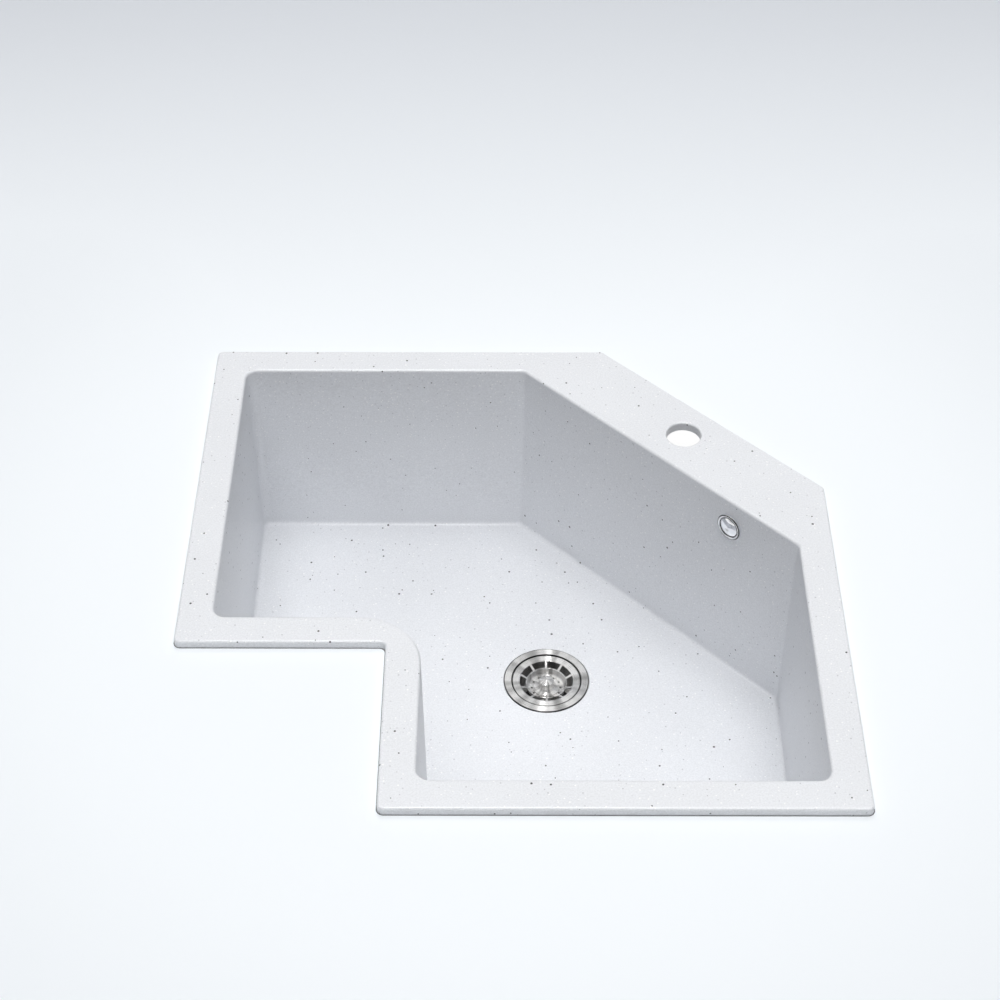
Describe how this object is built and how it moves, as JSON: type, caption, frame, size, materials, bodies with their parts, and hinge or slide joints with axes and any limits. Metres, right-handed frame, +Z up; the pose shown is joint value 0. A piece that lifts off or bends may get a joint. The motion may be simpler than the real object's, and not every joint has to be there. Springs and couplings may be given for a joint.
{
  "type": "corner kitchen sink",
  "caption": "Inset corner sink of moulded composite: L-shaped bowl with a cut-off tap corner, basket strainer waste, overflow and swinging fixing clips.",
  "frame": {"origin": "centre of the tap hole, at the level of the rim's underside, which is the surface of the worktop", "axes": "+Z up out of the bowl; +X to the right and +Y to the back as the sink is seen in the picture; the tap deck faces the +X+Y diagonal and the notch the -X-Y one"},
  "size_m": [0.628, 0.628, 0.3],
  "materials": {
    "composite": "white quartz composite, fine stone grain",
    "stainless": "brushed",
    "chrome": "polished",
    "zinc_steel": "bright zinc plate",
    "brass": "turned",
    "white_plastic": "moulded, satin",
    "grey_plastic": "moulded, satin",
    "black_rubber": "matt",
    "strip_foam": "closed-cell foam"
  },
  "bodies": {
    "sink": {"sink_bowl": "composite", "rim_strip": "strip_foam", "clip_inserts": "brass", "clip_screws": "zinc_steel", "strainer_cup": "stainless", "cup_seal": "black_rubber", "waste_seal": "black_rubber", "waste_body": "white_plastic", "screw_insert": "brass", "waste_screw": "stainless", "overflow_cover": "chrome", "overflow_cap": "chrome", "overflow_screw": "stainless", "overflow_seal": "black_rubber", "overflow_elbow": "white_plastic", "overflow_pipe": "white_plastic", "elbow_seal": "black_rubber", "branch_seal": "black_rubber", "elbow_nut": "grey_plastic", "branch_nut": "grey_plastic"},
    "basket": {"basket": "stainless"},
    "knob": {"knob": "stainless", "stopper": "black_rubber", "stopper_ring": "stainless"},
    "clip_1": {"clip_arm_1": "zinc_steel"},
    "clip_2": {"clip_arm_2": "zinc_steel"},
    "clip_3": {"clip_arm_3": "zinc_steel"},
    "clip_4": {"clip_arm_4": "zinc_steel"},
    "clip_5": {"clip_arm_5": "zinc_steel"},
    "clip_6": {"clip_arm_6": "zinc_steel"},
    "clip_7": {"clip_arm_7": "zinc_steel"},
    "clip_8": {"clip_arm_8": "zinc_steel"}
  },
  "joints": [
    {"name": "basket_lift", "type": "slide", "parent": "sink", "child": "basket", "axis": [0, 0, 1], "range_m": [0, 0.06]},
    {"name": "knob_pull", "type": "slide", "parent": "basket", "child": "knob", "axis": [0, 0, 1], "range_m": [0, 0.008]},
    {"name": "clip_1_swing", "type": "hinge", "parent": "sink", "child": "clip_1", "pos_m": [-0.27744, 0.11708, -0.035], "axis": [0, 0, 1], "range_deg": [-90, 90]},
    {"name": "clip_2_swing", "type": "hinge", "parent": "sink", "child": "clip_2", "pos_m": [-0.04101, 0.07212, -0.035], "axis": [0, 0, 1], "range_deg": [-90, 90]},
    {"name": "clip_3_swing", "type": "hinge", "parent": "sink", "child": "clip_3", "pos_m": [0.07212, -0.04101, -0.035], "axis": [0, 0, 1], "range_deg": [-90, 90]},
    {"name": "clip_4_swing", "type": "hinge", "parent": "sink", "child": "clip_4", "pos_m": [0.11708, -0.27744, -0.035], "axis": [0, 0, 1], "range_deg": [-90, 90]},
    {"name": "clip_5_swing", "type": "hinge", "parent": "sink", "child": "clip_5", "pos_m": [-0.07842, -0.46892, -0.035], "axis": [0, 0, 1], "range_deg": [-90, 90]},
    {"name": "clip_6_swing", "type": "hinge", "parent": "sink", "child": "clip_6", "pos_m": [-0.27392, -0.37142, -0.035], "axis": [0, 0, 1], "range_deg": [-90, 90]},
    {"name": "clip_7_swing", "type": "hinge", "parent": "sink", "child": "clip_7", "pos_m": [-0.37142, -0.27392, -0.035], "axis": [0, 0, 1], "range_deg": [-90, 90]},
    {"name": "clip_8_swing", "type": "hinge", "parent": "sink", "child": "clip_8", "pos_m": [-0.46892, -0.07842, -0.035], "axis": [0, 0, 1], "range_deg": [-90, 90]}
  ]
}
